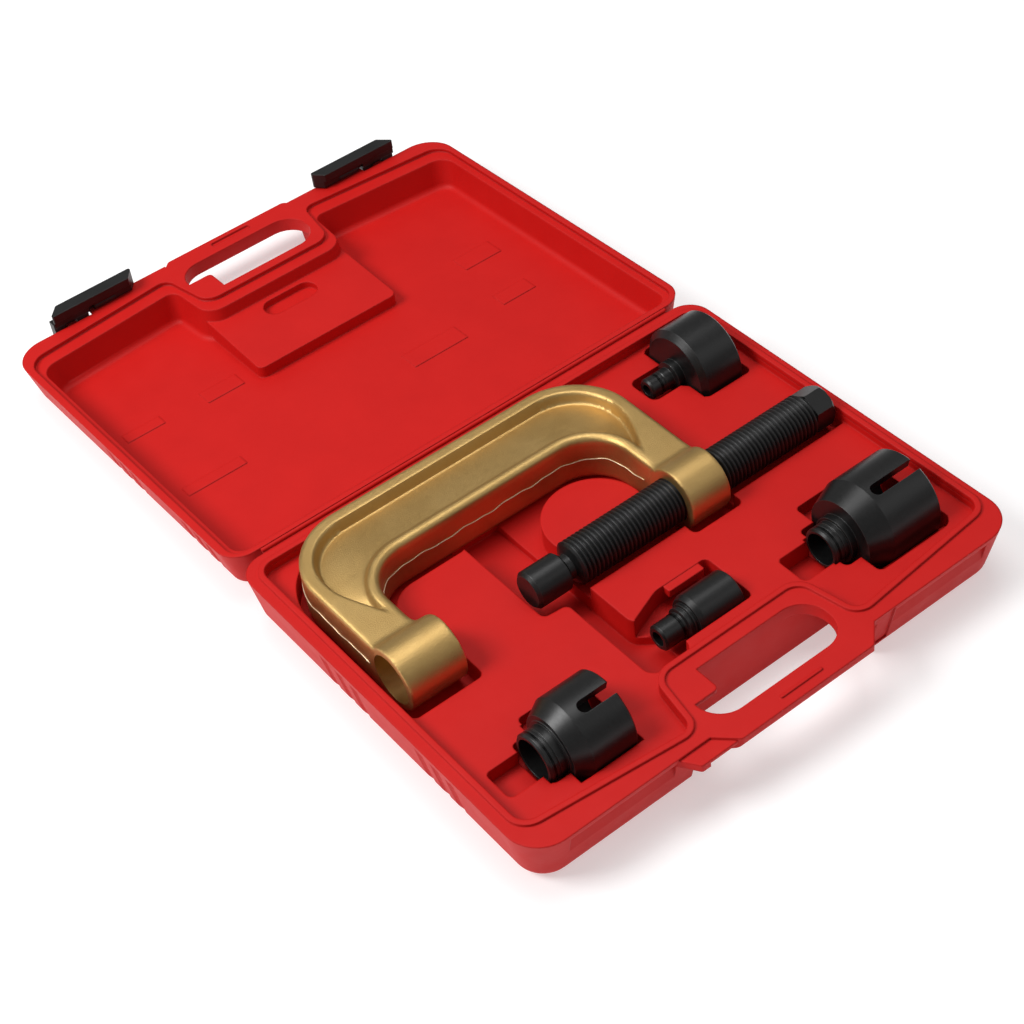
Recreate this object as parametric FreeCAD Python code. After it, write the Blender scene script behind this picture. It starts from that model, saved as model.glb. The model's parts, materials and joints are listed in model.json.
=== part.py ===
"""Ball joint separator kit: a forged C-frame press with its forcing screw and
four press adapters, lying in an open two-half moulded carrying case.

Millimetres. X runs along the case hinge, Y from the base half to the open lid,
Z is up. The origin is on the floor under the middle of the hinge line.
Each tool is drawn with its heights measured from the base's rim plane, then
lifted to the height of that plane.
"""

import math
import os

import FreeCAD
import Part

V = FreeCAD.Vector

# Case
BASE_HEIGHT = 38.0
LID_HEIGHT = 28.0
LID_DROOP_DEG = 2.11
RIM_GAP = 0.15
HALF_WIDTH = 175.0
FRONT_EDGE = 280.0
REAR_EDGE = 2.6
FRONT_CORNER = 22.0
REAR_CORNER = 16.0
SIDE_DRAFT = 7.0
FRONT_DRAFT = 8.5
REAR_DRAFT = 3.5
BASE_BOTTOM_ROUND = 10.0
LID_BOTTOM_ROUND = 7.0
WALL = 2.0
SKIN = 1.8
TRAY_DEPTH = 6.5
TRAY_LEFT_CUT = -143.0
TRAY_SLEEVE_CUT = -101.0
TRAY_RIGHT_CUT = 60.0
TRAY_CROSS_CUT = -133.4
BEAD_HEIGHT = 1.4
BEAD_WIDTH = 3.6
LID_FLOOR_DEPTH = 24.0
LID_STEP_DEPTH = 3.0
LID_HOLLOW_DRAFT = 3.2
LID_STEP_LEDGE = 0.8
LID_FLOOR_FILLET = 4.0
LID_MARK_HEIGHT = 0.5
LID_MARKS = (
    (-151, -108, -108, -99),
    (-153, -125, -181, -172),
    (-94, -66, -181, -168),
    (23, 66, -114, -98),
    (104, 131, -121, -108),
    (110, 140, -174, -158),
)
FLUTE_RADIUS = 6.0
FLUTE_DEPTH = 1.3
BASE_FLUTES = (-90, -105, -119, -180, -194, -207.5)
LID_FLUTES = (-33, -47, -62, -124, -138, -153)

# Handle
HANDLE_FRONT = 292.0
HANDLE_INNER = 276.0
HANDLE_REAR = 240.0
HANDLE_HALF = 48.0
BASE_GRIP_DEPTH = 8.3
LID_GRIP_DEPTH = 9.5

# Latches
LATCH_PIVOT_Y = 287.0
LATCH_PIVOT_Z = -9.0
LATCH_TOP = 12.0
LATCH_SHIFT = 0.9
LATCH_FRONT = 282.0
LATCH_NOSE = 280.5
LATCH_PIN_RADIUS = 1.6
LATCH_PIN_CLEARANCE = 0.05

# Press
AXIS_Y = -133.0
FRAME_HALF_THICK = 11.5
FRAME_WEB_HALF = 4.0
BOSS_RADIUS = 20.0
BOSS_BORE_RADIUS = 15.6
FRAME_LEFT = -157.0
FRAME_RIGHT = 74.5
THREAD_RADIUS = 14.0
THREAD_ROOT = 12.3
THREAD_PITCH = 3.0
THREAD_CLEARANCE = 0.05
SCREW_START = -33.0
SCREW_END = 150.5
HEX_END = 163.8
HEX_FLATS = 24.0
NOSE_START = -62.0
NOSE_END = -38.0
NOSE_RADIUS = 12.0

# Adapters: axis (y, height over the rim plane) and sizes
CUP_AXIS = (-45.6, -5.4)
CUP_RADIUS = 28.3
CUP_X = (123.5, 154.5)
LARGE_AXIS = (-217.6, -5.0)
LARGE_RADIUS = 28.8
LARGE_X = (97.2, 148.9)
SMALL_AXIS = (-227.5, -2.5)
SMALL_RADIUS = 25.6
SMALL_X = (-121.7, -82.9)
STUD_AXIS = (-201.9, -11.0)
STUD_RADIUS = 14.2
SLOT_WIDTH = 8.0


def rounded_wire(points, z=0.0):
    """A closed wire through (x, y, radius) corners, with an arc at each corner."""
    n = len(points)
    tangents = []
    for i in range(n):
        px, py, _ = points[i - 1]
        cx, cy, r = points[i]
        nx, ny, _ = points[(i + 1) % n]
        corner = V(cx, cy, z)
        to_prev = (V(px, py, z) - corner).normalize()
        to_next = (V(nx, ny, z) - corner).normalize()
        if r <= 0:
            tangents.append((corner, None, corner))
            continue
        angle = to_prev.getAngle(to_next)
        reach = r / math.tan(angle / 2.0)
        bisector = (to_prev + to_next).normalize()
        centre = corner + bisector * (r / math.sin(angle / 2.0))
        middle = centre - bisector * r
        tangents.append((corner + to_prev * reach, middle, corner + to_next * reach))
    edges = []
    for i in range(n):
        start, middle, end = tangents[i]
        if middle is not None:
            edges.append(Part.Arc(start, middle, end).toShape())
        following = tangents[(i + 1) % n][0]
        if end.distanceToPoint(following) > 1e-6:
            edges.append(Part.makeLine(end, following))
    return Part.Wire(edges)


def plate(points, z0, z1):
    """An upright prism between two heights over a rounded outline."""
    face = Part.Face(rounded_wire(points, z0))
    return face.extrude(V(0, 0, z1 - z0))


def grown_plate(points, grow, z0, z1):
    """The same prism, its outline moved outwards by grow."""
    face = Part.Face(rounded_wire(points, z0)).makeOffset2D(grow)
    return face.extrude(V(0, 0, z1 - z0))


def block(x0, x1, y0, y1, z0, z1):
    """A box between two corners."""
    return Part.makeBox(x1 - x0, y1 - y0, z1 - z0, V(x0, y0, z0))


def round_block(x0, x1, y0, y1, z0, z1, r):
    """A box with its upright edges rounded."""
    corners = [(x0, y0, r), (x1, y0, r), (x1, y1, r), (x0, y1, r)]
    return plate(corners, z0, z1)


def rod(x0, x1, radius, axis):
    """A cylinder along X at axis = (y, z)."""
    return Part.makeCylinder(radius, x1 - x0, V(x0, axis[0], axis[1]), V(1, 0, 0))


def turned(profile, axis):
    """A solid turned about an X axis from (x, radius) points, closed on the axis."""
    points = [V(x, r, 0) for x, r in profile]
    if profile[0][1] > 0:
        points.insert(0, V(profile[0][0], 0, 0))
    if profile[-1][1] > 0:
        points.append(V(profile[-1][0], 0, 0))
    points.append(points[0])
    face = Part.Face(Part.makePolygon(points))
    solid = face.revolve(V(0, 0, 0), V(1, 0, 0), 360)
    solid.translate(V(0, axis[0], axis[1]))
    return solid


def fuse(shapes):
    """One solid from several that meet."""
    out = shapes[0]
    for shape in shapes[1:]:
        out = out.fuse(shape)
    return out.removeSplitter()


def level_edges(shape, z, tolerance=0.01):
    """The edges that lie wholly at one height."""
    found = []
    for edge in shape.Edges:
        box = edge.BoundBox
        if abs(box.ZMin - z) < tolerance and abs(box.ZMax - z) < tolerance:
            found.append(edge)
    return found


def body_outline(inset_side, inset_front, inset_rear, shrink):
    """The case half's main outline, drawn for the base half (y below zero)."""
    side = HALF_WIDTH - inset_side
    front = -(FRONT_EDGE - inset_front)
    rear = -(REAR_EDGE + inset_rear)
    return [
        (-side, rear, REAR_CORNER - shrink),
        (-side, front, FRONT_CORNER - shrink),
        (side, front, FRONT_CORNER - shrink),
        (side, rear, REAR_CORNER - shrink),
    ]


def tub(height, inset, top, bottom, rounding):
    """A drafted tub solid with a rounded bottom edge, inset from the outer skin."""
    upper = rounded_wire(body_outline(inset, inset, inset, inset), top)
    lower = rounded_wire(
        body_outline(SIDE_DRAFT + inset, FRONT_DRAFT + inset, REAR_DRAFT + inset, 5.0),
        -height + bottom)
    solid = Part.makeLoft([upper, lower], True, True)
    edges = level_edges(solid, -height + bottom)
    return solid.makeFillet(rounding, edges)


def handle_outline(inset):
    """The grip part of the outline, which stands out in front of the case."""
    return [
        (-57 + inset, -262, 0),
        (-57 + inset, -FRONT_EDGE, 3 if inset == 0 else 0),
        (-45 + inset * 0.4, -HANDLE_FRONT + inset, 4),
        (50 - inset * 0.4, -HANDLE_FRONT + inset, 4),
        (62 - inset, -FRONT_EDGE, 3 if inset == 0 else 0),
        (62 - inset, -262, 0),
    ]


def grip_profile(depth, inset, top):
    """A bar along X with the grip's rounded section, used to trim the handle."""
    front = -HANDLE_FRONT + inset
    low = -depth + inset
    r = min(11.0, depth * 0.55)
    start = V(-70, front, top)
    points = [
        V(-70, front, low + r),
        V(-70, front + r * (1 - math.sqrt(0.5)), low + r * (1 - math.sqrt(0.5))),
        V(-70, front + r, low),
    ]
    edges = [
        Part.makeLine(start, points[0]),
        Part.Arc(points[0], points[1], points[2]).toShape(),
        Part.makeLine(points[2], V(-70, -225, low)),
        Part.makeLine(V(-70, -225, low), V(-70, -225, top)),
        Part.makeLine(V(-70, -225, top), start),
    ]
    return Part.Face(Part.Wire(edges)).extrude(V(145, 0, 0))


def hole_outline(grow):
    """The finger hole behind the grip."""
    half = HANDLE_HALF + grow
    return [
        (-half, -HANDLE_INNER - grow, 17 + grow),
        (half, -HANDLE_INNER - grow, 17 + grow),
        (half, -HANDLE_REAR + grow, 17 + grow),
        (-half, -HANDLE_REAR + grow, 17 + grow),
    ]


def flutes(height, rows):
    """Shallow upright grooves in both side walls, leaning with the walls' draft."""
    lean = SIDE_DRAFT / height
    start = 6.0
    reach = FLUTE_RADIUS - FLUTE_DEPTH
    cutters = []
    for y in rows:
        for side in (-1, 1):
            foot = V(side * (HALF_WIDTH - lean * start + reach), y, -start)
            along = V(-side * lean, 0, -1)
            cutters.append(Part.makeCylinder(FLUTE_RADIUS, height + 10, foot, along))
    return cutters


def half_shell(height, grip_depth, rounding, hand_half, hand_rear):
    """The outer skin of one case half with its hollow handle, rim plane at 0."""
    outer = tub(height, 0.0, 0.0, 0.0, rounding)
    inner = tub(height, WALL, -WALL, WALL, rounding - WALL)
    hand_room = block(-hand_half, hand_half + 2, -300, hand_rear, -height - 1, -grip_depth)
    hand_wall = block(-hand_half - WALL, hand_half + 2 + WALL, -300, hand_rear + WALL,
                      -height - 1, -grip_depth + WALL)
    grip = plate(handle_outline(0.0), -grip_depth, 0).common(grip_profile(grip_depth, 0.0, 0.0))
    grip_room = plate(handle_outline(WALL), -grip_depth + WALL, -WALL)
    grip_room = grip_room.common(grip_profile(grip_depth, WALL, -WALL))
    hole = plate(hole_outline(0.0), -height - 1, 1)
    hole_wall = plate(hole_outline(WALL), -height - 1, 1)
    solid = outer.cut(hand_room).fuse(grip).removeSplitter()
    room = inner.cut(hand_wall).fuse(grip_room).removeSplitter().cut(hole_wall)
    tab = round_block(-50, -31, -258, -238, -2.5, 0, 3)
    skin = solid.cut(hole).fuse(tab).removeSplitter()
    return skin, room


def tray_outline():
    """The mouth of the tool tray in the base's rim."""
    return [
        (-165, -12, 9),
        (-165, -258.8, 10),
        (-60, -269.8, 8),
        (-52.5, -227.5, 14),
        (54, -227.5, 14),
        (61, -268.8, 8),
        (167, -258.8, 10),
        (167, -12, 9),
    ]


def bead(outline, height):
    """The raised sealing bead round the tray mouth."""
    return grown_plate(outline, BEAD_WIDTH, 0, height).cut(plate(outline, -1, height + 1))


def make_base_shell():
    skin, room = half_shell(BASE_HEIGHT, BASE_GRIP_DEPTH, BASE_BOTTOM_ROUND, 65, -240)
    for side in (-1, 1):
        x0, x1 = sorted((side * 79.5, side * 150))
        room = room.cut(block(x0 - 2, x1 + 2, -290, -273.6, -20, 0))
    skin = skin.cut(room)
    skin = skin.cut(grown_plate(tray_outline(), SKIN, -TRAY_DEPTH - SKIN, -WALL))
    skin = skin.cut(plate(tray_outline(), -TRAY_DEPTH - SKIN, 1))
    skin = skin.fuse(bead(tray_outline(), BEAD_HEIGHT))
    for side in (-1, 1):
        x0, x1 = sorted((side * 79.5, side * 150))
        skin = skin.cut(block(x0, x1, -290, -276.2, -17.0, -4.2))
    for flute in flutes(BASE_HEIGHT, BASE_FLUTES):
        skin = skin.cut(flute)
    panel = block(63.5, 78.5, -290, -262, -30, -1.2)
    skin = skin.cut(panel.cut(tub(BASE_HEIGHT, 1.0, 0.0, 0.0, BASE_BOTTOM_ROUND)))
    shelf = [(-81, -276, 0), (-71.6, -290.5, 2), (-47, -290.5, 0), (-56, -276, 0)]
    shelf_rib = [(-81, -276, 0), (-71.6, -290.5, 2), (-66, -290.5, 0), (-61, -276, 0)]
    skin = skin.fuse(plate(shelf, -3.7, -1.5))
    skin = skin.fuse(plate(shelf_rib, -6.5, -2.0))
    grip_bar = round_block(-12, 18, -286, -284.2, -1, 0.8, 0.8)
    return skin.fuse(grip_bar).removeSplitter()


def tool_pockets():
    """Outline, floor height for every straight-sided pocket in the tray."""
    floor = -21.0
    pockets = [
        # round the C-frame's back and arms
        ([(-162, -12.8, 46), (-162, -160, 4), (-114.4, -160, 4), (-114.4, -106, 4),
          (-124.5, -104, 4), (-124.5, -76.4, 22), (-62.4, -76.4, 5), (-62.4, -66, 1),
          (43, -66, 1), (40, -119, 1), (40, -158.6, 4), (77.5, -158.6, 4),
          (77.5, -12.8, 46)], floor),
        # inside the press's throat, round the dome
        ([(-64.6, -60, 1), (-64.6, -119, 1), (47, -119, 1), (47, -60, 1)], floor),
        # the deep well between the pads
        ([(-64.6, -60, 1), (-64.6, -149.6, 4), (-48.6, -151, 4), (-48.6, -224, 8),
          (-18, -224, 8), (-18, -196, 4), (-31, -185, 10), (-31, -60, 1)], -26.0),
        # for the forcing screw
        ([(-40, -117.2, 1), (-40, -149.6, 1), (166.8, -149.6, 2), (166.8, -117.2, 2)], -15.6),
        # under the small adapter with the stud
        ([(-30, -186, 4), (-30, -216.4, 4), (31.9, -216.4, 4), (31.9, -176.6, 4), (-6, -176.6, 14)], -20.0),
        # for the large cup
        ([(122.6, -14.5, 5), (122.6, -76.0, 4), (159.8, -76.0, 4), (159.8, -14.5, 5)], -16.0),
        ([(97.5, -32, 5), (97.5, -56, 5), (119, -56, 1), (124, -62, 1), (124, -32, 1)], -18.0),
        # for the large sleeve
        ([(95.2, -183.0, 3), (95.2, -251.8, 4), (153.5, -251.8, 8), (153.5, -183.0, 3)], -16.0),
        ([(84.0, -198.0, 3), (84.0, -236.4, 4), (97, -236.4, 1), (97, -198.0, 1)], -23.0),
        ([(59.2, -206.4, 3), (59.2, -229.2, 4), (85, -229.2, 1), (85, -206.4, 1)], -20.0),
        # for the small sleeve
        ([(-121.0, -197.0, 3), (-121.0, -253.6, 4), (-79.8, -253.6, 8), (-79.8, -197.0, 3)], -14.0),
        ([(-134.4, -209.0, 3), (-134.4, -244.5, 4), (-119, -244.5, 1), (-119, -209.0, 1)], -19.0),
        ([(-156.2, -214.8, 3), (-156.2, -236.8, 4), (-131, -236.8, 1), (-131, -214.8, 1)], -16.0),
    ]
    return pockets


def dome_pad(grow, z0, z1):
    """The half-round pad that stands inside the press's throat."""
    disc = Part.makeCylinder(32 + grow, z1 - z0, V(7.5, -107.4, z0))
    return disc.common(block(-60, 60, -117.2 - grow, -60, z0, z1))


def cradles(grow):
    """Round-bottomed hollows under the adapters."""
    return [
        rod(122.6 - grow, 158.4 + grow, CUP_RADIUS + 0.35 + grow, CUP_AXIS),
        rod(95.2 - grow, 153.5 + grow, LARGE_RADIUS + 0.35 + grow, LARGE_AXIS),
        rod(-122.4 - grow, -79.8 + grow, SMALL_RADIUS + 0.6 + grow, SMALL_AXIS),
        rod(-30.0 - grow, 31.0 + grow, STUD_RADIUS + 0.4 + grow, STUD_AXIS),
        rod(80.8 - grow, 97.0 + grow, 13.5 + grow, LARGE_AXIS),
        rod(-134.4 - grow, -119.0 + grow, 16.1 + grow, SMALL_AXIS),
    ]


def make_base_tray():
    mouth = tray_outline()
    low = -TRAY_DEPTH
    solid = grown_plate(mouth, SKIN, low - SKIN, -WALL)
    solid = solid.cut(plate(mouth, low, 1))
    below = block(-190, 190, -300, 0, -60, low - SKIN + 0.01)
    for outline, floor in tool_pockets():
        solid = solid.fuse(grown_plate(outline, SKIN, floor - SKIN, low))
    for shape in cradles(SKIN):
        solid = solid.fuse(shape.common(below))
    solid = solid.removeSplitter()
    keep = dome_pad(0.0, -40, low)
    for outline, floor in tool_pockets():
        pocket = plate(outline, floor, low + 0.5)
        solid = solid.cut(pocket.cut(keep))
    for shape in cradles(0.0):
        solid = solid.cut(shape)
    rib = round_block(-0.2, 26.0, -182.2, -175.6, -12, low - 0.4, 1.2)
    return solid.fuse(rib).removeSplitter()


def tray_fields():
    """The tray in six adjoining fields, parted along the middles of its pockets."""
    tray = make_base_tray()
    far = 200.0
    spans = {
        "tray_rear_left": (-far, TRAY_LEFT_CUT, TRAY_CROSS_CUT, 0),
        "tray_rear_middle": (TRAY_LEFT_CUT, TRAY_RIGHT_CUT, TRAY_CROSS_CUT, 0),
        "tray_rear_right": (TRAY_RIGHT_CUT, far, TRAY_CROSS_CUT, 0),
        "tray_front_left": (-far, TRAY_SLEEVE_CUT, -300, TRAY_CROSS_CUT),
        "tray_front_middle": (TRAY_SLEEVE_CUT, TRAY_RIGHT_CUT, -300, TRAY_CROSS_CUT),
        "tray_front_right": (TRAY_RIGHT_CUT, far, -300, TRAY_CROSS_CUT),
    }
    return {name: tray.common(block(x0, x1, y0, y1, -60, 10)) for name, (x0, x1, y0, y1) in spans.items()}


def mirrored(shape):
    """The lid half's version of a shape drawn for the base half."""
    return shape.mirror(V(0, 0, 0), V(0, 1, 0))


def lid_mouth(grow, deep):
    """The mouth of the lid's hollow; deep narrows it towards the floor."""
    side = 166.2 + grow - deep
    return [
        (-side, -10 + grow - deep, 9),
        (-side, -255.5 - grow + deep, 12),
        (-58 + grow - deep, -264 - grow + deep, 7),
        (-55 + grow - deep, -222.5 - grow + deep, 14),
        (55 - grow + deep, -222.5 - grow + deep, 14),
        (58 - grow + deep, -264 - grow + deep, 7),
        (side, -255.5 - grow + deep, 12),
        (side, -10 + grow - deep, 9),
    ]


def lid_rim_mouth():
    """The edge of the lid's outer flat, round the groove for the base's bead."""
    return [
        (-170, -6.5, 10),
        (-170, -265.5, 14),
        (-56.5, -275.5, 8),
        (-49, -232.5, 12),
        (50.5, -232.5, 12),
        (57.5, -275.5, 8),
        (170.9, -265.5, 14),
        (170.9, -6.5, 12),
    ]


def make_lid_shell():
    skin, room = half_shell(LID_HEIGHT, LID_GRIP_DEPTH, LID_BOTTOM_ROUND, 50, -238)
    skin = skin.cut(room)
    skin = skin.cut(plate(lid_rim_mouth(), -WALL - 1, 1))
    for side in (-1, 1):
        flange = plate([
            (side * 49, -276, 0),
            (side * 49, -289.5, 0),
            (side * 112 + LATCH_SHIFT, -289.5, 0.8),
            (side * 113 + LATCH_SHIFT, -276, 0),
        ], -2.4, 0)
        middle = side * 127 + LATCH_SHIFT
        lug = round_block(middle - 3.6, middle + 3.6, -289.5, -270, -13.0, -2.4, 0.5)
        lug = lug.cut(block(-200, 200, -300, -280.0, -2.8, 0)).cut(room)
        hole = rod(middle - 6, middle + 6, LATCH_PIN_RADIUS, (-LATCH_PIVOT_Y, LATCH_PIVOT_Z))
        skin = skin.fuse(flange).fuse(lug).cut(hole)
    slot = round_block(-12.5, 18.5, -288, -283.4, -1.3, 1, 1.5)
    skin = skin.cut(slot)
    for flute in flutes(LID_HEIGHT, LID_FLUTES):
        skin = skin.cut(flute)
    return mirrored(skin.removeSplitter())


def make_lid_liner():
    rim = lid_rim_mouth()
    step = -LID_STEP_DEPTH
    floor = -LID_FLOOR_DEPTH
    solid = grown_plate(rim, LID_STEP_LEDGE, step - SKIN, -WALL)
    solid = solid.cut(plate(rim, step, 1))
    outer = Part.makeLoft(
        [rounded_wire(lid_mouth(SKIN, 0), step),
         rounded_wire(lid_mouth(SKIN, LID_HOLLOW_DRAFT), floor - SKIN)], True, True)
    hollow = Part.makeLoft(
        [rounded_wire(lid_mouth(0, 0), step),
         rounded_wire(lid_mouth(0, LID_HOLLOW_DRAFT), floor)], True, True)
    outer = outer.makeFillet(LID_FLOOR_FILLET + 1.0, level_edges(outer, floor - SKIN))
    hollow = hollow.makeFillet(LID_FLOOR_FILLET, level_edges(hollow, floor))
    solid = solid.fuse(outer)
    hollow = hollow.fuse(plate(lid_mouth(0, 0), step, 1))
    platform = sloping_pad(55.5, -162.5, 5, floor - 0.5, 0.0)
    platform_room = sloping_pad(53.7, -164.3, 3.5, floor - 3, SKIN)
    solid = solid.cut(hollow)
    solid = solid.fuse(platform.common(hollow)).removeSplitter()
    dish = round_block(-20.4, 20.4, -217, -201, -16.8, -8, 7.9)
    dish_wall = round_block(-22.2, 22.2, -218.8, -199.2, -18.6, -8, 9.7)
    solid = solid.cut(platform_room.cut(dish_wall)).cut(dish)
    for x0, x1, y0, y1 in LID_MARKS:
        solid = solid.fuse(block(x0, x1, y0, y1, floor - 0.5, floor + LID_MARK_HEIGHT))
    return mirrored(solid.removeSplitter())


def sloping_pad(half, front, corner, bottom, below):
    """The lid's raised pad, its top rising towards the handle, or the room under it."""
    outline = [(-half, -236, corner), (half, -236, corner), (half, front, corner), (-half, front, corner)]
    top = [(-162.5, -15.6 - below), (-236.0, -10.6 - below), (-236.0, bottom), (-150.0, bottom),
           (-150.0, -16.4 - below)]
    points = [V(-60, y, z) for y, z in top]
    points.append(points[0])
    wedge = Part.Face(Part.makePolygon(points)).extrude(V(120, 0, 0))
    return plate(outline, bottom, 0).common(wedge)


def in_lid_place(shape):
    """Carries a lid part, drawn with its rim plane at 0, to its open position."""
    out = shape.copy()
    out.translate(V(0, 0, -RIM_GAP))
    out.rotate(V(0, 0, 0), V(1, 0, 0), -LID_DROOP_DEG)
    out.translate(V(0, 0, BASE_HEIGHT + RIM_GAP))
    return out


def make_latch(side):
    """One latch, drawn for the lid's frame (y above zero)."""
    def span(a, b):
        return sorted((side * a + LATCH_SHIFT, side * b + LATCH_SHIFT))

    lip = plate([
        (side * 81.5 + LATCH_SHIFT, LATCH_NOSE, 1.2),
        (side * 141.5 + LATCH_SHIFT, LATCH_NOSE, 1.2),
        (side * 132.5 + LATCH_SHIFT, 290.6, 1.5),
        (side * 73.5 + LATCH_SHIFT, 290.6, 1.5),
    ], 1.2, LATCH_TOP)
    lip = lip.cut(block(-150, 150, LATCH_NOSE - 1, LATCH_FRONT, 1.0, 6.0))
    lip = lip.cut(block(*span(109.5, 113.5), 280, 284.5, 1.0, 5.0))
    tab = block(*span(93, 109), LATCH_FRONT - 0.4, LATCH_FRONT + 1, 1.2, 3.6)
    leg = block(*span(114, 140), 284.0, 290.6, -13.6, 3.2)
    foot = rod(*span(114, 140), 3.4, (LATCH_PIVOT_Y, LATCH_PIVOT_Z))
    leg = leg.cut(block(-150, 150, 280, 295, -20, LATCH_PIVOT_Z)).fuse(foot)
    leg = leg.cut(block(-150, 150, 290.6, 300, -20, 20))
    leg = leg.cut(block(*span(122.9, 131.1), 280, 295, -20, -1.0))
    bore = rod(-150, 150, LATCH_PIN_RADIUS + LATCH_PIN_CLEARANCE, (LATCH_PIVOT_Y, LATCH_PIVOT_Z))
    return lip.fuse(tab).fuse(leg).cut(bore).removeSplitter()


def make_latch_pin(side):
    x0, x1 = sorted((side * 114.5, side * 139.5))
    return rod(x0 + LATCH_SHIFT, x1 + LATCH_SHIFT, LATCH_PIN_RADIUS, (LATCH_PIVOT_Y, LATCH_PIVOT_Z))


def make_hinge_strip():
    strip = rod(-155, 155, 1.3, (0, RIM_GAP))
    web = block(-155, 155, -REAR_EDGE, -0.4, -1.6, -0.7)
    return strip.fuse(web).removeSplitter()


def frame_outline():
    """The C-frame seen from above, without its bosses."""
    return [
        (FRAME_LEFT, -14.5, 44),
        (FRAME_LEFT, AXIS_Y, 0),
        (-127.3, AXIS_Y, 0),
        (-127.3, -64.5, 28),
        (45.2, -64.5, 28),
        (45.2, AXIS_Y, 0),
        (FRAME_RIGHT, AXIS_Y, 0),
        (FRAME_RIGHT, -14.5, 44),
    ]


def frame_recess():
    """The outline of the hollow between the frame's two flanges."""
    return [
        (-147.0, -21.5, 35),
        (-147.0, -98, 5),
        (-136.0, -98, 5),
        (-136.0, -58.0, 35),
        (54.0, -58.0, 35),
        (54.0, -98, 5),
        (64.8, -98, 5),
        (64.8, -21.5, 35),
    ]


def make_c_frame():
    axis = (AXIS_Y, 0)
    body = plate(frame_outline(), -FRAME_HALF_THICK, FRAME_HALF_THICK)
    for low, high in ((FRAME_WEB_HALF, 20), (-20, -FRAME_WEB_HALF)):
        body = body.cut(plate(frame_recess(), low, high))
    left = rod(FRAME_LEFT, -119, BOSS_RADIUS, axis)
    right = rod(44.5, FRAME_RIGHT - 1, BOSS_RADIUS, axis)
    body = body.fuse(left).fuse(right)
    body = body.cut(rod(FRAME_LEFT - 5, -100, BOSS_BORE_RADIUS, axis))
    body = body.cut(rod(30, 90, THREAD_RADIUS + THREAD_CLEARANCE, axis))
    return body.removeSplitter()


def make_forcing_screw():
    axis = (AXIS_Y, 0)
    profile = [(-48.0, 4.6), (-46.6, 5.4), (-44.6, 5.4), (-43.6, 4.0), (-42.4, 4.0), (-41.6, 5.4)]
    profile += [(-36.5, 5.4), (-36.5, 8.0), (SCREW_START, 8.0), (SCREW_START + 2.0, THREAD_ROOT)]
    x = SCREW_START + 2.0
    while x + THREAD_PITCH <= SCREW_END - 1.0:
        profile.append((x + THREAD_PITCH * 0.42, THREAD_RADIUS))
        profile.append((x + THREAD_PITCH * 0.58, THREAD_RADIUS))
        profile.append((x + THREAD_PITCH, THREAD_ROOT))
        x += THREAD_PITCH
    profile.append((SCREW_END, THREAD_ROOT - 0.6))
    shaft = turned(profile, axis)
    corner = HEX_FLATS / 2.0 / math.cos(math.radians(30))
    points = []
    for i in range(7):
        a = math.radians(60 * i + 30)
        points.append(V(SCREW_END - 0.5, AXIS_Y + corner * math.cos(a), corner * math.sin(a)))
    hexagon = Part.Face(Part.makePolygon(points)).extrude(V(HEX_END - SCREW_END + 0.5, 0, 0))
    trim = turned([(SCREW_END - 1, 20), (HEX_END - 2.2, 20), (HEX_END - 2.2, corner + 0.2),
                   (HEX_END, corner - 1.6)], axis)
    return shaft.fuse(hexagon.common(trim)).removeSplitter()


def make_nose_cap():
    axis = (AXIS_Y, 0)
    cap = turned([(NOSE_START, NOSE_RADIUS - 2.0), (NOSE_START + 2.0, NOSE_RADIUS),
                  (NOSE_END - 1.0, NOSE_RADIUS), (NOSE_END, NOSE_RADIUS - 1.0)], axis)
    socket = rod(-48.3, NOSE_END + 1, 5.45, axis)
    groove = rod(-43.8, -42.2, 6.6, axis)
    return cap.cut(socket).cut(groove)


def make_nose_ring():
    ring = rod(-43.6, -42.4, 6.6, (AXIS_Y, 0))
    return ring.cut(rod(-45, -41, 4.3, (AXIS_Y, 0)))


def slot_cutter(x0, x1, radius, axis, angle):
    """A slot of the fork sleeves, open at the far end with a round inner end."""
    half = SLOT_WIDTH / 2.0
    z0 = radius * 0.35
    prism = Part.makeBox(x1 - x0, SLOT_WIDTH, radius, V(x0, -half, z0))
    end = Part.makeCylinder(half, radius, V(x0, 0, z0))
    cutter = prism.fuse(end)
    cutter.rotate(V(0, 0, 0), V(1, 0, 0), angle)
    cutter.translate(V(0, axis[0], axis[1]))
    return cutter


def make_receiving_cup():
    x0, x1 = CUP_X
    outer = turned([
        (100.5, 5.8), (101.7, 7.0), (107.4, 7.0), (107.4, 6.2), (109.0, 6.2), (109.0, 7.0),
        (111.0, 7.0), (111.6, 6.5), (112.2, 7.0), (117.5, 7.0), (118.5, 10.0), (x0, 10.0),
        (x0, CUP_RADIUS - 4.0), (x0 + 3.5, CUP_RADIUS), (x1 - 1.0, CUP_RADIUS), (x1, CUP_RADIUS - 1.0),
    ], CUP_AXIS)
    hollow = rod(133.0, x1 + 1, 22.5, CUP_AXIS)
    centre = rod(99, 108.5, 3.6, CUP_AXIS)
    return outer.cut(hollow).cut(centre)


def make_cup_ring():
    ring = rod(107.5, 108.9, 7.25, CUP_AXIS)
    return ring.cut(rod(105, 110, 6.25, CUP_AXIS))


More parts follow.
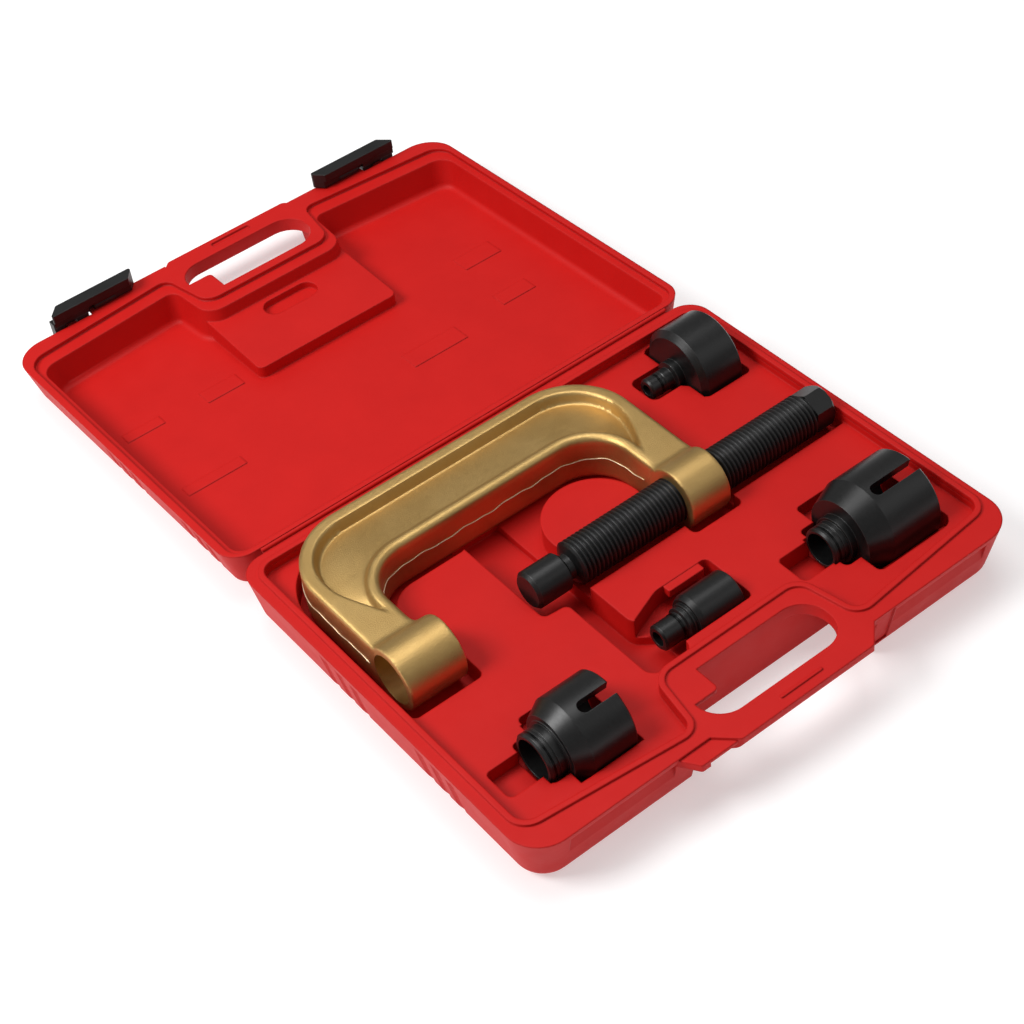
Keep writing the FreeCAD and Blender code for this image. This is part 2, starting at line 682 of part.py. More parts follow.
def make_large_sleeve():
    x0, x1 = LARGE_X
    outer = turned([
        (81.8, 11.6), (83.0, 12.85), (84.6, 12.85), (84.6, 11.9), (86.4, 11.9), (86.4, 12.85),
        (88.4, 12.85), (88.9, 12.2), (89.4, 12.85), (92.4, 12.85), (92.4, 14.6), (x0, 14.6),
        (x0, LARGE_RADIUS - 5.4), (x0 + 14.5, LARGE_RADIUS), (x1 - 1.0, LARGE_RADIUS),
        (x1, LARGE_RADIUS - 1.0),
    ], LARGE_AXIS)
    hollow = rod(106.0, x1 + 1, 21.5, LARGE_AXIS)
    outer = outer.cut(hollow).cut(rod(80, 110, 10.3, LARGE_AXIS))
    return outer.cut(slot_cutter(118.5, x1 + 2, LARGE_RADIUS + 3, LARGE_AXIS, 14))


def make_large_sleeve_ring():
    ring = rod(84.7, 86.3, 12.7, LARGE_AXIS)
    return ring.cut(rod(80, 90, 11.95, LARGE_AXIS))


def make_small_sleeve():
    x0, x1 = SMALL_X
    outer = turned([
        (-133.3, 14.3), (-132.1, 15.5), (-130.8, 15.5), (-130.8, 14.5), (-129.2, 14.5),
        (-129.2, 15.5), (-127.6, 15.5), (-127.1, 14.9), (-126.6, 15.5), (-122.1, 15.5),
        (-122.1, 17.2), (x0, 17.2), (x0, SMALL_RADIUS - 5.3), (x0 + 9.5, SMALL_RADIUS),
        (x1 - 1.0, SMALL_RADIUS), (x1, SMALL_RADIUS - 1.0),
    ], SMALL_AXIS)
    hollow = rod(-113.0, x1 + 1, 18.5, SMALL_AXIS)
    outer = outer.cut(hollow).cut(rod(-140, -110, 12.6, SMALL_AXIS))
    return outer.cut(slot_cutter(-102.0, x1 + 2, SMALL_RADIUS + 3, SMALL_AXIS, 15))


def make_small_sleeve_ring():
    ring = rod(-130.7, -129.3, 15.3, SMALL_AXIS)
    return ring.cut(rod(-135, -125, 14.55, SMALL_AXIS))


def make_stud_adapter():
    outer = turned([
        (-26.0, 6.8), (-24.8, 8.1), (-13.5, 8.1), (-13.5, 7.1), (-11.8, 7.1), (-11.8, 8.1),
        (-10.6, 8.1), (-9.6, 10.0), (-7.6, 10.0), (-7.0, 9.4), (-6.4, 10.6), (-4.6, 10.6),
        (-4.6, 12.6), (-1.4, STUD_RADIUS), (26.0, STUD_RADIUS), (27.0, STUD_RADIUS - 1.0),
    ], STUD_AXIS)
    hollow = rod(5.0, 28.0, 9.0, STUD_AXIS)
    return outer.cut(hollow).cut(rod(-27, -15, 4.6, STUD_AXIS))


def make_stud_ring():
    ring = rod(-13.4, -11.9, 8.35, STUD_AXIS)
    return ring.cut(rod(-15, -10, 7.15, STUD_AXIS))


def main():
    os.makedirs("parts", exist_ok=True)
    lift = V(0, 0, BASE_HEIGHT)
    in_base = {
        "base_shell": make_base_shell(),
        "hinge_strip": make_hinge_strip(),
        "c_frame": make_c_frame(),
        "forcing_screw": make_forcing_screw(),
        "nose_cap": make_nose_cap(),
        "nose_ring": make_nose_ring(),
        "receiving_cup": make_receiving_cup(),
        "cup_ring": make_cup_ring(),
        "large_sleeve": make_large_sleeve(),
        "large_sleeve_ring": make_large_sleeve_ring(),
        "small_sleeve": make_small_sleeve(),
        "small_sleeve_ring": make_small_sleeve_ring(),
        "stud_adapter": make_stud_adapter(),
        "stud_ring": make_stud_ring(),
    }
    in_base.update(tray_fields())
    in_lid = {
        "lid_shell": make_lid_shell(),
        "lid_liner": make_lid_liner(),
        "latch_left": make_latch(-1),
        "latch_right": make_latch(1),
        "latch_pin_left": make_latch_pin(-1),
        "latch_pin_right": make_latch_pin(1),
    }
    for name, shape in in_base.items():
        shape = shape.copy()
        shape.translate(lift)
        shape.exportStep("parts/" + name + ".step")
        report(name, shape)
    for name, shape in in_lid.items():
        shape = in_lid_place(shape)
        shape.exportStep("parts/" + name + ".step")
        report(name, shape)


def report(name, shape):
    box = shape.BoundBox
    print("%-18s solids %d valid %s volume %.1f cm3  x %.1f %.1f  y %.1f %.1f  z %.1f %.1f" % (
        name, len(shape.Solids), shape.isValid(), shape.Volume / 1000.0,
        box.XMin, box.XMax, box.YMin, box.YMax, box.ZMin, box.ZMax))


main()
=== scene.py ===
"""Looks for the ball joint separator kit: an open red moulded case with a
gold C-frame press, its black forcing screw and four black adapters."""

import json
import math
from collections import namedtuple

import bmesh
import bpy
import numpy as np
from mathutils import Matrix, Vector


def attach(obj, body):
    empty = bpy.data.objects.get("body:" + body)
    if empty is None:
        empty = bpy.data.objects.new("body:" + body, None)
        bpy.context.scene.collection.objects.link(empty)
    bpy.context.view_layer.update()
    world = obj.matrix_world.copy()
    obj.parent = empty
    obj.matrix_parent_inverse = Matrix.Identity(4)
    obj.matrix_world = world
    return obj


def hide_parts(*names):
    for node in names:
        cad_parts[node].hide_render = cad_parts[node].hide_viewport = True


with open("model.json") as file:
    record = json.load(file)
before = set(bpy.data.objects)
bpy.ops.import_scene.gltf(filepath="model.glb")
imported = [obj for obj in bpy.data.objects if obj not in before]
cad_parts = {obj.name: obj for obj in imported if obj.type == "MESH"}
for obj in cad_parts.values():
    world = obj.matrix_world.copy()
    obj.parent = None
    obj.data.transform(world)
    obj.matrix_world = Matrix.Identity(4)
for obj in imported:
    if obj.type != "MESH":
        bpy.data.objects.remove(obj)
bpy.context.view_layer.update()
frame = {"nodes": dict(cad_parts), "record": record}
nodes = frame["nodes"]

# The camera, in the frame's metres and in degrees. Heading is from x to y, pitch is downwards.
CAMERA_PLACE = Vector((-0.5011, -0.8202, 0.8958))
CAMERA_HEADING = 57.60
CAMERA_PITCH = 44.24
CAMERA_ROLL = -8.02
CAMERA_LENS = 74.2  # mm
CAMERA_SENSOR = 36.0  # mm
CAMERA_FAR = 30.0

LIGHTS = (
    ("key", (-1.3, 0.5, 1.5), (0.9, 0.8), 30.0),
    ("fill", (1.2, -1.2, 1.4), (1.2, 1.0), 2.5),
    ("top", (0.2, 0.3, 2.2), (1.4, 1.4), 20.0),
)
LIGHT_AIM = Vector((0.0, 0.0, 0.03))
WORLD_STRENGTH = 0.24

# The floor, a hair below the case, and how much it glows so that it stays pale
FLOOR_SIZE = 14.0
FLOOR_Z = -0.0004
FLOOR_GREYS = (0.60, 0.64)
FLOOR_ROUGHNESS = 0.8
FLOOR_GLOW = 0.46

# The forged C-frame's outline, in metres. Its back is at high y and its open side at low y.
FRAME_X = (-0.157, 0.0745)
FRAME_TOP_Y = -0.0145
FRAME_CORNER = 0.044
THROAT_X = (-0.1273, 0.0452)
THROAT_TOP_Y = -0.0645
THROAT_CORNER = 0.028
CORNER_STEPS = 16

# Its bosses and bores, round an axis along x: from x, to x and, for a bore, the radius
AXIS_Y = -0.133
AXIS_Z = 0.038
BOSSES = ((-0.157, -0.119), (0.0445, 0.0735))
BOSS_RADIUS = 0.020
BOSS_SEGMENTS = 96
BORES = ((-0.170, -0.100, 0.0156), (0.030, 0.090, 0.01405))
BORE_SEGMENTS = 128

# Its section: a flange along each edge and, between their walls, a web on a slope
ARM_MID_Z = 0.0349
HALF_THICK = 0.0164
OUTER_EDGE_RADIUS = 0.0026
INNER_EDGE_RADIUS = 0.0040
OUTER_FLANGE = 0.0085
INNER_FLANGE = 0.0058
OUTER_WALL = 0.0028
INNER_WALL = 0.0040
WEB_DEPTH = 0.0075  # under the flanges, beside the outer one
WEB_RISE = 0.0042  # from there to the inner flange
TINY = 1e-5  # keeps a division from failing

# Below this y the outer flange grows wider, until the web has run out
RUN_OUT_Y = -0.062
RUN_OUT_LENGTH = 0.050
RUN_OUT_GROWTH = 0.0150

# Over this length, from this y upwards, the plain leg at a boss turns into the section
LEG_END_Y = -0.118
LEG_END_LENGTH = 0.010

# The corner between leg and boss is smoothed most at this y, and not beyond the reach
BOSS_ROOT_Y = -0.1178
BOSS_ROOT_REACH = 0.009

# How finely the forging is meshed and how far it is smoothed
VOXEL = 0.0009
SMOOTH_FACTOR = 0.5
SOFTEN_STEPS = 3
BLEND_STEPS = 24
FORGING_SHARP = 40.0  # degrees

# The flash line, a thin wavy bead
FLASH_STEP = 0.0015
FLASH_SIDES = 6
FLASH_HALF_WIDTH = 0.00042
FLASH_HALF_HEIGHT = 0.00034
FLASH_WAVES = ((190, 1.0), (430, 0.6), (60, 0.4))  # radians per metre, share of the swing
FLASH_INNER_END_Y = -0.108
FLASH_OUTER_END_Y = -0.112
FULL_TURN = 6.28

# The tray's fields in the CAD and the planes that part them
TRAY_FIELDS = (
    "tray_rear_left",
    "tray_rear_middle",
    "tray_rear_right",
    "tray_front_left",
    "tray_front_middle",
    "tray_front_right",
)
TRAY_CUTS_X = (-0.143, -0.101, 0.060)
TRAY_CUT_Y = -0.1334
TRAY_SHARP = 30.0  # degrees
NEAR = 0.00001

# Colours as linear red, green, blue and alpha, each as the two ends of a slight variation
CASE_REDS = ((0.525, 0.0065, 0.0050, 1), (0.560, 0.0080, 0.0060, 1))
PAINT_GOLDS = ((0.54, 0.345, 0.120, 1), (0.62, 0.410, 0.155, 1))
FLASH_GOLDS = ((0.75, 0.58, 0.36, 1), (0.92, 0.80, 0.62, 1))

# The part of a noise's range over which a ramp goes from its first colour to its last
NARROW_SPAN = (0.3, 0.7)
WIDE_SPAN = (0.2, 0.8)
NOISE_ROUGHNESS = 0.55
BEVEL_SAMPLES = 6

# How far a face's normal and the rounded normal agree where the painted edge highlight starts and
# where it is full
HIGHLIGHT_STARTS = 0.985
HIGHLIGHT_FULL = 0.85


# ---------------------------------------------------------------- node helpers

# A layer of bumps: the height is a node's output, the distance is in metres
Bump = namedtuple("Bump", "height distance strength")


def new_material(name):
    """An empty material, its node tree and its shader."""
    material = bpy.data.materials.new(name)
    material.use_nodes = True
    tree = material.node_tree
    shader = tree.nodes["Principled BSDF"]
    return material, tree, shader


def noise(tree, scale, detail=3.0, stretch=(1.0, 1.0, 1.0)):
    """A noise over the object's own coordinates, in metres."""
    place = tree.nodes.new("ShaderNodeTexCoord")
    mapping = tree.nodes.new("ShaderNodeMapping")
    mapping.inputs["Scale"].default_value = stretch
    texture = tree.nodes.new("ShaderNodeTexNoise")
    texture.inputs["Scale"].default_value = scale
    texture.inputs["Detail"].default_value = detail
    texture.inputs["Roughness"].default_value = NOISE_ROUGHNESS
    tree.links.new(place.outputs["Object"], mapping.inputs["Vector"])
    tree.links.new(mapping.outputs["Vector"], texture.inputs["Vector"])
    return texture.outputs["Fac"]


def ramp(tree, value, span, first, last):
    """The first colour turning into the last while the value crosses the span."""
    node = tree.nodes.new("ShaderNodeValToRGB")
    for stop, position, colour in zip(node.color_ramp.elements, span, (first, last)):
        stop.position = position
        stop.color = colour
    tree.links.new(value, node.inputs["Fac"])
    return node.outputs["Color"]


def grey(level):
    """A grey colour, or a plain number as a ramp gives it."""
    return (level, level, level, 1.0)


def roughen(tree, shader, value, least, most):
    """Varies the shader's roughness with a noise."""
    matt = ramp(tree, value, WIDE_SPAN, grey(least), grey(most))
    tree.links.new(matt, shader.inputs["Roughness"])


def rounded_normal(tree, radius):
    """The normal as if every edge had this radius."""
    bevel = tree.nodes.new("ShaderNodeBevel")
    bevel.samples = BEVEL_SAMPLES
    bevel.inputs["Radius"].default_value = radius
    return bevel.outputs["Normal"]


def bumped(tree, shader, layers, edge=0.0):
    """Layers of bumps under the shader's normal, with edges rounded to a radius."""
    normal = rounded_normal(tree, edge) if edge > 0.0 else None
    for layer in layers:
        bump = tree.nodes.new("ShaderNodeBump")
        bump.inputs["Distance"].default_value = layer.distance
        bump.inputs["Strength"].default_value = layer.strength
        tree.links.new(layer.height, bump.inputs["Height"])
        if normal is not None:
            tree.links.new(normal, bump.inputs["Normal"])
        normal = bump.outputs["Normal"]
    tree.links.new(normal, shader.inputs["Normal"])


def highlight_edge_mask(tree, radius):
    """About 1 at edges, where a highlight is painted, 0 on flat faces."""
    face = tree.nodes.new("ShaderNodeNewGeometry")
    same = tree.nodes.new("ShaderNodeVectorMath")
    same.operation = "DOT_PRODUCT"
    tree.links.new(rounded_normal(tree, radius), same.inputs[0])
    tree.links.new(face.outputs["Normal"], same.inputs[1])
    spread = tree.nodes.new("ShaderNodeMapRange")
    spread.inputs["From Min"].default_value = HIGHLIGHT_STARTS
    spread.inputs["From Max"].default_value = HIGHLIGHT_FULL
    tree.links.new(same.outputs["Value"], spread.inputs["Value"])
    return spread.outputs["Result"]


def mixed(tree, share, first, second):
    """The first colour turning into the second as share goes to 1."""
    node = tree.nodes.new("ShaderNodeMix")
    node.data_type = "RGBA"
    tree.links.new(share, node.inputs["Factor"])
    tree.links.new(first, node.inputs["A"])
    node.inputs["B"].default_value = second
    return node.outputs["Result"]


# ------------------------------------------------------------------- materials

def case_plastic():
    """Red blow-moulded plastic with a fine grain and soft moulded edges."""
    material, tree, shader = new_material("case_red")
    cloud = noise(tree, scale=28.0, detail=4.0)
    tree.links.new(ramp(tree, cloud, NARROW_SPAN, *CASE_REDS), shader.inputs["Base Color"])
    roughen(tree, shader, noise(tree, scale=90.0), least=0.50, most=0.62)
    shader.inputs["Specular IOR Level"].default_value = 0.22
    swell = Bump(noise(tree, scale=45.0, detail=2.0), distance=0.0006, strength=0.25)
    grain = Bump(noise(tree, scale=1500.0, detail=2.0), distance=0.00012, strength=0.35)
    bumped(tree, shader, [swell, grain], edge=0.0016)
    return material


def latch_plastic():
    """Black satin plastic."""
    material, tree, shader = new_material("latch_black")
    colour = ramp(tree, noise(tree, scale=60.0), NARROW_SPAN, grey(0.005), grey(0.010))
    tree.links.new(colour, shader.inputs["Base Color"])
    roughen(tree, shader, noise(tree, scale=200.0), least=0.36, most=0.48)
    grain = Bump(noise(tree, scale=1800.0, detail=2.0), distance=0.0001, strength=0.3)
    bumped(tree, shader, [grain], edge=0.0008)
    return material


def gold_paint():
    """Satin gold paint over a drop forging."""
    material, tree, shader = new_material("frame_gold")
    cloud = noise(tree, scale=35.0, detail=5.0)
    tree.links.new(ramp(tree, cloud, NARROW_SPAN, *PAINT_GOLDS), shader.inputs["Base Color"])
    roughen(tree, shader, noise(tree, scale=400.0, detail=4.0), least=0.34, most=0.48)
    shader.inputs["Metallic"].default_value = 0.92
    swell = Bump(cloud, distance=0.0006, strength=0.2)
    grain = Bump(noise(tree, scale=1500.0), distance=0.00030, strength=0.6)
    bumped(tree, shader, [swell, grain])
    return material


def black_oxide():
    """Black oxide steel with turning marks across x, and a painted highlight that makes its edges
    a little lighter.
    """
    material, tree, shader = new_material("black_oxide")
    marks = noise(tree, scale=300.0, stretch=(9.0, 1.0, 1.0))
    colour = ramp(tree, marks, NARROW_SPAN, grey(0.0045), grey(0.0085))
    # Painted highlight: the edges are mixed towards a lighter grey
    edge_highlighted = mixed(tree, highlight_edge_mask(tree, radius=0.0005), colour, grey(0.045))
    tree.links.new(edge_highlighted, shader.inputs["Base Color"])
    roughen(tree, shader, marks, least=0.30, most=0.42)
    shader.inputs["Metallic"].default_value = 0.1
    bumped(tree, shader, [Bump(marks, distance=0.00006, strength=0.3)], edge=0.0005)
    return material


def ring_steel():
    """Dark spring wire."""
    material, tree, shader = new_material("spring_steel")
    cloud = noise(tree, scale=500.0)
    colour = ramp(tree, cloud, NARROW_SPAN, grey(0.012), grey(0.022))
    tree.links.new(colour, shader.inputs["Base Color"])
    roughen(tree, shader, cloud, least=0.25, most=0.35)
    shader.inputs["Metallic"].default_value = 1.0
    return material


def flash_gold():
    """The bright edge of the forging's flash, where the paint is thin."""
    material, tree, shader = new_material("flash_gold")
    cloud = noise(tree, scale=700.0)
    tree.links.new(ramp(tree, cloud, NARROW_SPAN, *FLASH_GOLDS), shader.inputs["Base Color"])
    roughen(tree, shader, cloud, least=0.30, most=0.42)
    shader.inputs["Metallic"].default_value = 0.5
    return material


def floor_white():
    """A pale floor that glows a little, so that only soft shadows are left on it."""
    material, tree, shader = new_material("floor_white")
    dark, light = FLOOR_GREYS
    colour = ramp(tree, noise(tree, scale=3.0), WIDE_SPAN, grey(dark), grey(light))
    tree.links.new(colour, shader.inputs["Base Color"])
    shader.inputs["Roughness"].default_value = FLOOR_ROUGHNESS
    shader.inputs["Emission Color"].default_value = grey(1.0)
    shader.inputs["Emission Strength"].default_value = FLOOR_GLOW
    return material


MATERIALS = {
    "flash_gold": flash_gold(),
    "case_red": case_plastic(),
    "latch_black": latch_plastic(),
    "frame_gold": gold_paint(),
    "black_oxide": black_oxide(),
    "spring_steel": ring_steel(),
}


def paint(thing, name):
    """Gives an object one of the materials and no other."""
    thing.data.materials.clear()
    thing.data.materials.append(MATERIALS[name])


def finish_piece(piece, body):
    """Names the body that carries a piece."""
    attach(piece, body)


for subpart in frame["record"]["subparts"]:
    paint(nodes[subpart["node"]], subpart["material_slot"])


# ---------------------------------------------------------------- mesh helpers

def corner_path(sides, top, corner, low):
    """Points up one side, round both top corners and down the other side."""
    points = [(sides[0], low)]
    for x, start in ((sides[0] + corner, 180), (sides[1] - corner, 90)):
        for i in range(CORNER_STEPS + 1):
            angle = math.radians(start - 90.0 * i / CORNER_STEPS)
            points.append((x + corner * math.cos(angle), top - corner + corner * math.sin(angle)))
    points.append((sides[1], low))
    return points


def add_cylinder(mesh, x0, x1, radius, segments):
    """A closed cylinder round the screw's axis, from x0 to x1."""
    turn = Matrix.Rotation(math.radians(90), 4, "Y")
    place = Matrix.Translation(((x0 + x1) / 2.0, AXIS_Y, AXIS_Z)) @ turn
    bmesh.ops.create_cone(mesh, cap_ends=True, segments=segments, radius1=radius,
                          radius2=radius, depth=x1 - x0, matrix=place)


def as_object(mesh, name):
    """A new object of the scene with this mesh, which is used up."""
    data = bpy.data.meshes.new(name)
    bmesh.ops.recalc_face_normals(mesh, faces=mesh.faces)
    mesh.to_mesh(data)
    mesh.free()
    thing = bpy.data.objects.new(name, data)
    bpy.context.scene.collection.objects.link(thing)
    return thing


def bake(thing):
    """Puts the object's modifiers into its mesh."""
    seen = bpy.context.evaluated_depsgraph_get()
    seen.update()
    data = bpy.data.meshes.new_from_object(thing.evaluated_get(seen))
    thing.modifiers.clear()
    thing.data = data


def smooth_shape(thing, name, steps, group=""):
    """Adds a smoothing of the whole shape or, with a vertex group, of a part of it."""
    smooth = thing.modifiers.new(name, "SMOOTH")
    smooth.factor = SMOOTH_FACTOR
    smooth.iterations = steps
    smooth.vertex_group = group


def shade_smooth(thing, sharp):
    """Smooth shading, except across edges sharper than an angle in degrees."""
    thing.data.shade_smooth()
    thing.data.set_sharp_from_angle(angle=math.radians(sharp))


# ----------------------------------------------------------------- forged frame

def eased(value):
    """A smooth step from 0 to 1."""
    t = np.clip(value, 0.0, 1.0)
    return t * t * (3.0 - 2.0 * t)


def from_corner_box(x, y, sides, top, corner):
    """Distance outside a box with rounded top corners that runs far down in y."""
    middle = (sides[0] + sides[1]) / 2.0
    across = np.abs(x - middle) - (sides[1] - sides[0]) / 2.0 + corner
    along = y - top + corner
    outside = np.hypot(np.maximum(across, 0.0), np.maximum(along, 0.0))
    return outside + np.minimum(np.maximum(across, along), 0.0) - corner


def edge_drop(distance, radius):
    """How far a round edge lies under the flat face, at a distance from the outline."""
    near = np.clip(radius - distance, 0.0, radius)
    return radius - np.sqrt(radius * radius - near * near)


def web_depth(from_outer, from_inner, y):
    """How deep the web lies under the flanges, and 0 on the flanges."""
    run_out = eased((RUN_OUT_Y - y) / RUN_OUT_LENGTH)
    past_outer = from_outer - (OUTER_FLANGE + RUN_OUT_GROWTH * run_out)
    past_inner = from_inner - INNER_FLANGE
    share = np.clip(past_outer / np.maximum(past_outer + past_inner, TINY), 0.0, 1.0)
    web = WEB_DEPTH - WEB_RISE * share
    return web * eased(past_outer / OUTER_WALL) * eased(past_inner / INNER_WALL)


def forged_height(x, y):
    """Half thickness of the forging: two round-edged flanges and a sloping web between."""
    from_outer = -from_corner_box(x, y, FRAME_X, FRAME_TOP_Y, FRAME_CORNER)
    from_inner = from_corner_box(x, y, THROAT_X, THROAT_TOP_Y, THROAT_CORNER)
    height = HALF_THICK - web_depth(from_outer, from_inner, y)
    height = height - edge_drop(from_outer, OUTER_EDGE_RADIUS)
    height = height - edge_drop(from_inner, INNER_EDGE_RADIUS)
    arm = eased((y - LEG_END_Y) / LEG_END_LENGTH)
    return HALF_THICK + (height - HALF_THICK) * arm


def frame_slab():
    """The C as a plain slab, with a solid cylinder for each boss."""
    mesh = bmesh.new()
    outer = corner_path(FRAME_X, FRAME_TOP_Y, FRAME_CORNER, AXIS_Y)
    inner = corner_path(THROAT_X, THROAT_TOP_Y, THROAT_CORNER, AXIS_Y)
    ring = outer + inner[::-1]
    bottom = [mesh.verts.new((x, y, ARM_MID_Z - HALF_THICK)) for x, y in ring]
    top = [mesh.verts.new((x, y, ARM_MID_Z + HALF_THICK)) for x, y in ring]
    for i in range(len(ring)):
        j = (i + 1) % len(ring)
        mesh.faces.new((bottom[i], bottom[j], top[j], top[i]))
    # The inner path runs back, so outer point i faces the ring's point i from the end
    for level in (bottom, top):
        for i in range(len(outer) - 1):
            mesh.faces.new((level[i], level[i + 1], level[-2 - i], level[-1 - i]))
    for x0, x1 in BOSSES:
        add_cylinder(mesh, x0, x1, BOSS_RADIUS, BOSS_SEGMENTS)
    return mesh


def shape_section(data):
    """Gives the slab the forging's section and returns its points."""
    points = np.empty(len(data.vertices) * 3)
    data.vertices.foreach_get("co", points)
    points = points.reshape(-1, 3)
    share = forged_height(points[:, 0], points[:, 1]) / HALF_THICK
    points[:, 2] = ARM_MID_Z + (points[:, 2] - ARM_MID_Z) * share
    data.vertices.foreach_set("co", points.ravel())
    return points


def mark_boss_roots(thing, points, name):
    """Makes a vertex group that is strongest where the legs meet the bosses."""
    near_root = 1.0 - np.abs(points[:, 1] - BOSS_ROOT_Y) / BOSS_ROOT_REACH
    root = thing.vertex_groups.new(name=name)
    for index in np.flatnonzero(near_root > 0.0):
        root.add([int(index)], float(near_root[index]), "REPLACE")


def cut_bores(thing):
    """Puts the modifiers that the object has into its mesh and then cuts the bores."""
    cutters = bmesh.new()
    for x0, x1, radius in BORES:
        add_cylinder(cutters, x0, x1, radius, BORE_SEGMENTS)
    tool = as_object(cutters, "bore_cutters")
    cut = thing.modifiers.new("bores", "BOOLEAN")
    cut.operation = "DIFFERENCE"
    cut.solver = "MANIFOLD"
    cut.object = tool
    bake(thing)
    bpy.data.objects.remove(tool)


def forged_frame():
    """The C-frame as a forging, with soft edges, a recess that runs out and cut bores."""
    forging = as_object(frame_slab(), "forged_frame")
    remesh = forging.modifiers.new("voxels", "REMESH")
    remesh.mode = "VOXEL"
    remesh.voxel_size = VOXEL
    bake(forging)
    points = shape_section(forging.data)
    mark_boss_roots(forging, points, "boss_root")
    smooth_shape(forging, "soften", SOFTEN_STEPS)
    smooth_shape(forging, "blend", BLEND_STEPS, "boss_root")
    cut_bores(forging)
    shade_smooth(forging, FORGING_SHARP)
    paint(forging, "frame_gold")
    finish_piece(forging, "press_frame")
    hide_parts("c_frame")


# ------------------------------------------------------------------- flash line

def spots_along(path):
    """Points along a path, one to two steps apart."""
    spots = []
    for (x0, y0), (x1, y1) in zip(path, path[1:]):
        count = max(1, int(math.hypot(x1 - x0, y1 - y0) / FLASH_STEP))
        spots += [(x0 + (x1 - x0) * i / count, y0 + (y1 - y0) * i / count) for i in range(count)]
    spots.append(path[-1])
    return spots


def bead_ring(mesh, centre, side):
    """The corners of the bead's section, where side is the direction across it."""
    ring = []
    for i in range(FLASH_SIDES):
        angle = math.radians(360 / FLASH_SIDES * i)
        across = side * (FLASH_HALF_WIDTH * math.cos(angle))
        upward = Vector((0, 0, FLASH_HALF_HEIGHT * math.sin(angle)))
        ring.append(mesh.verts.new(centre + across + upward))
    return ring


def wavy_rings(mesh, spots, swing, shifts):
    """The bead's sections along the spots, wandering up and down with the waves."""
    rings = []
    run = 0.0
    for i, (x, y) in enumerate(spots):
        x0, y0 = spots[max(i - 1, 0)]
        x1, y1 = spots[min(i + 1, len(spots) - 1)]
        run += math.hypot(x - x0, y - y0)
        way = Vector((x1 - x0, y1 - y0, 0.0)).normalized()
        side = Vector((-way.y, way.x, 0.0))
        wave = 0.0
        for (rate, share), shift in zip(FLASH_WAVES, shifts):
            wave += share * math.sin(run * rate + shift)
        rings.append(bead_ring(mesh, Vector((x, y, ARM_MID_Z + swing * wave)), side))
    return rings


def flash_line(name, path, swing, seed):
    """The fine raised line left where the forging dies met."""
    shifts = np.random.default_rng(seed).uniform(0.0, FULL_TURN, len(FLASH_WAVES))
    mesh = bmesh.new()
    rings = wavy_rings(mesh, spots_along(path), swing, shifts)
    for a, b in zip(rings, rings[1:]):
        for k in range(FLASH_SIDES):
            after = (k + 1) % FLASH_SIDES
            mesh.faces.new((a[k], a[after], b[after], b[k]))
    mesh.faces.new(rings[0])
    mesh.faces.new(rings[-1])
    line = as_object(mesh, name)
    line.data.shade_smooth()
    paint(line, "flash_gold")
    finish_piece(line, "press_frame")


# ------------------------------------------------------------------------- tray

def is_seam(face):
    """True for a face that lies in a plane between two of the tray's fields."""
    on_x = any(all(abs(v.co.x - cut) < NEAR for v in face.verts) for cut in TRAY_CUTS_X)
    on_y = all(abs(v.co.y - TRAY_CUT_Y) < NEAR for v in face.verts)
    return on_x or on_y


def joined_fields():
    """The six fields in one mesh, without the faces where they meet."""
    mesh = bmesh.new()
    for node in TRAY_FIELDS:
        first = len(mesh.verts)
        mesh.from_mesh(nodes[node].data)
        mesh.verts.ensure_lookup_table()
        bmesh.ops.transform(mesh, matrix=nodes[node].matrix_world, verts=mesh.verts[first:])
    seams = [face for face in mesh.faces if is_seam(face)]
    bmesh.ops.delete(mesh, geom=seams, context="FACES_ONLY")
    bmesh.ops.remove_doubles(mesh, verts=mesh.verts, dist=NEAR)
    return mesh


def one_tray():
    """The base's inner skin as the one moulding it is, with no seams between fields."""
    tray = as_object(joined_fields(), "moulded_tray")
    # The normals stored for the separate fields don't suit the joined mesh
    stored = tray.data.attributes.get("custom_normal")
    if stored is not None:
        tray.data.attributes.remove(stored)
    shade_smooth(tray, TRAY_SHARP)
    paint(tray, "case_red")
    finish_piece(tray, "base")
    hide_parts(*TRAY_FIELDS)


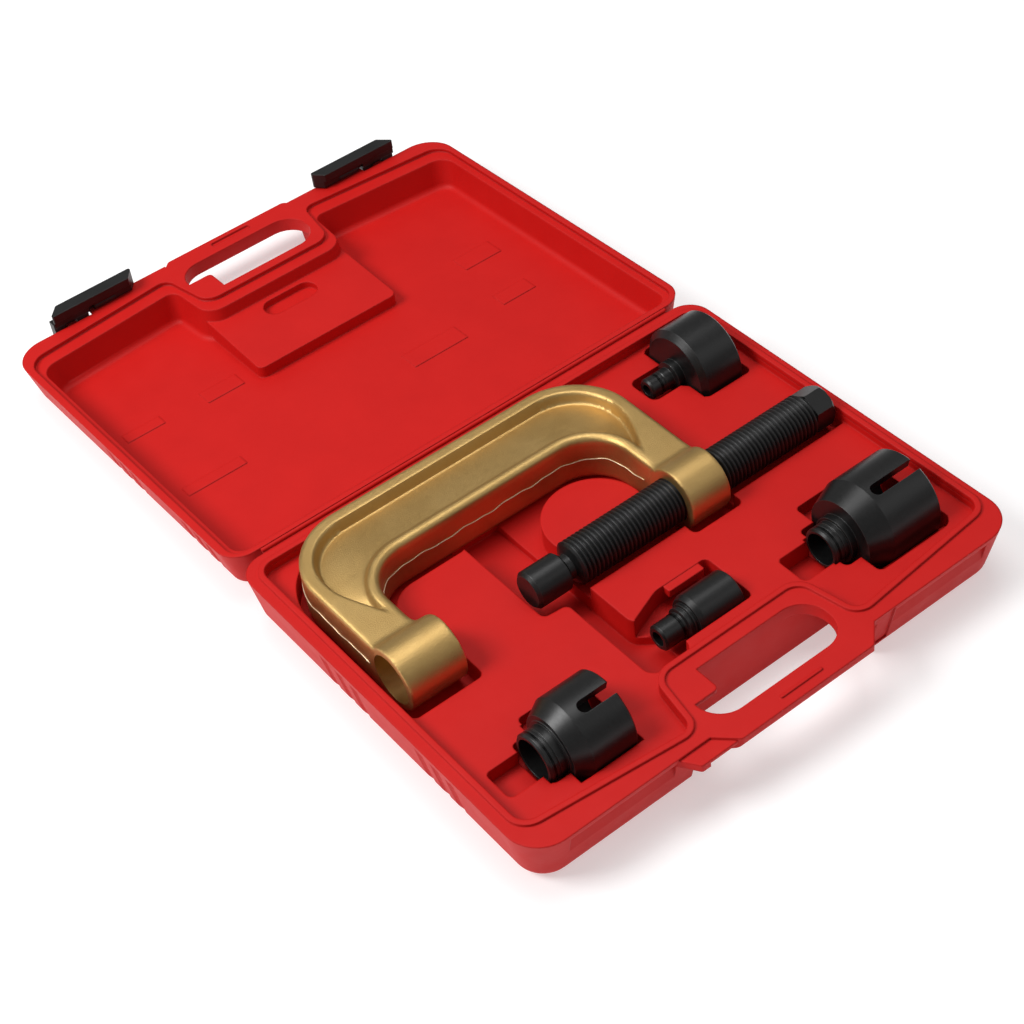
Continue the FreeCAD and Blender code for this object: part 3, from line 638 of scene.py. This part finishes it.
one_tray()
forged_frame()
inner_path = corner_path(THROAT_X, THROAT_TOP_Y, THROAT_CORNER, FLASH_INNER_END_Y)
outer_path = corner_path(FRAME_X, FRAME_TOP_Y, FRAME_CORNER, FLASH_OUTER_END_Y)
flash_line("flash_inner", inner_path, swing=0.0006, seed=3)
flash_line("flash_outer", outer_path, swing=0.0005, seed=5)


# ------------------------------------------------------------------------ stage

def make_floor():
    bpy.ops.mesh.primitive_plane_add(size=FLOOR_SIZE, location=(0, 0, FLOOR_Z))
    floor = bpy.context.object
    floor.name = "floor"
    floor.data.materials.append(floor_white())


def area_light(name, place, size, watts):
    data = bpy.data.lights.new(name, "AREA")
    data.shape = "RECTANGLE"
    data.size, data.size_y = size
    data.energy = watts
    lamp = bpy.data.objects.new(name, data)
    lamp.location = place
    lamp.rotation_euler = (LIGHT_AIM - Vector(place)).to_track_quat("-Z", "Y").to_euler()
    bpy.context.scene.collection.objects.link(lamp)


def make_world():
    """Even white light from all round."""
    world = bpy.data.worlds.new("studio")
    world.use_nodes = True
    background = world.node_tree.nodes["Background"]
    background.inputs["Color"].default_value = grey(1.0)
    background.inputs["Strength"].default_value = WORLD_STRENGTH
    bpy.context.scene.world = world


def camera_turn():
    """The camera's axes as a matrix's columns: to its right, upwards and backwards."""
    heading = math.radians(CAMERA_HEADING)
    pitch = math.radians(CAMERA_PITCH)
    roll = math.radians(CAMERA_ROLL)
    forward = Vector((
        math.cos(pitch) * math.cos(heading),
        math.cos(pitch) * math.sin(heading),
        -math.sin(pitch),
    ))
    level = forward.cross(Vector((0, 0, 1))).normalized()
    above = level.cross(forward)
    right = level * math.cos(roll) + above * math.sin(roll)
    up = above * math.cos(roll) - level * math.sin(roll)
    return Matrix((right, up, -forward)).transposed()


def make_camera():
    """The camera at the photo's angle."""
    data = bpy.data.cameras.new("camera")
    data.lens = CAMERA_LENS
    data.sensor_width = CAMERA_SENSOR
    data.clip_end = CAMERA_FAR
    camera = bpy.data.objects.new("camera", data)
    camera.matrix_world = Matrix.Translation(CAMERA_PLACE) @ camera_turn().to_4x4()
    bpy.context.scene.collection.objects.link(camera)
    bpy.context.scene.camera = camera


make_floor()
for light in LIGHTS:
    area_light(*light)
make_world()
make_camera()
bpy.context.scene.view_settings.view_transform = "Standard"
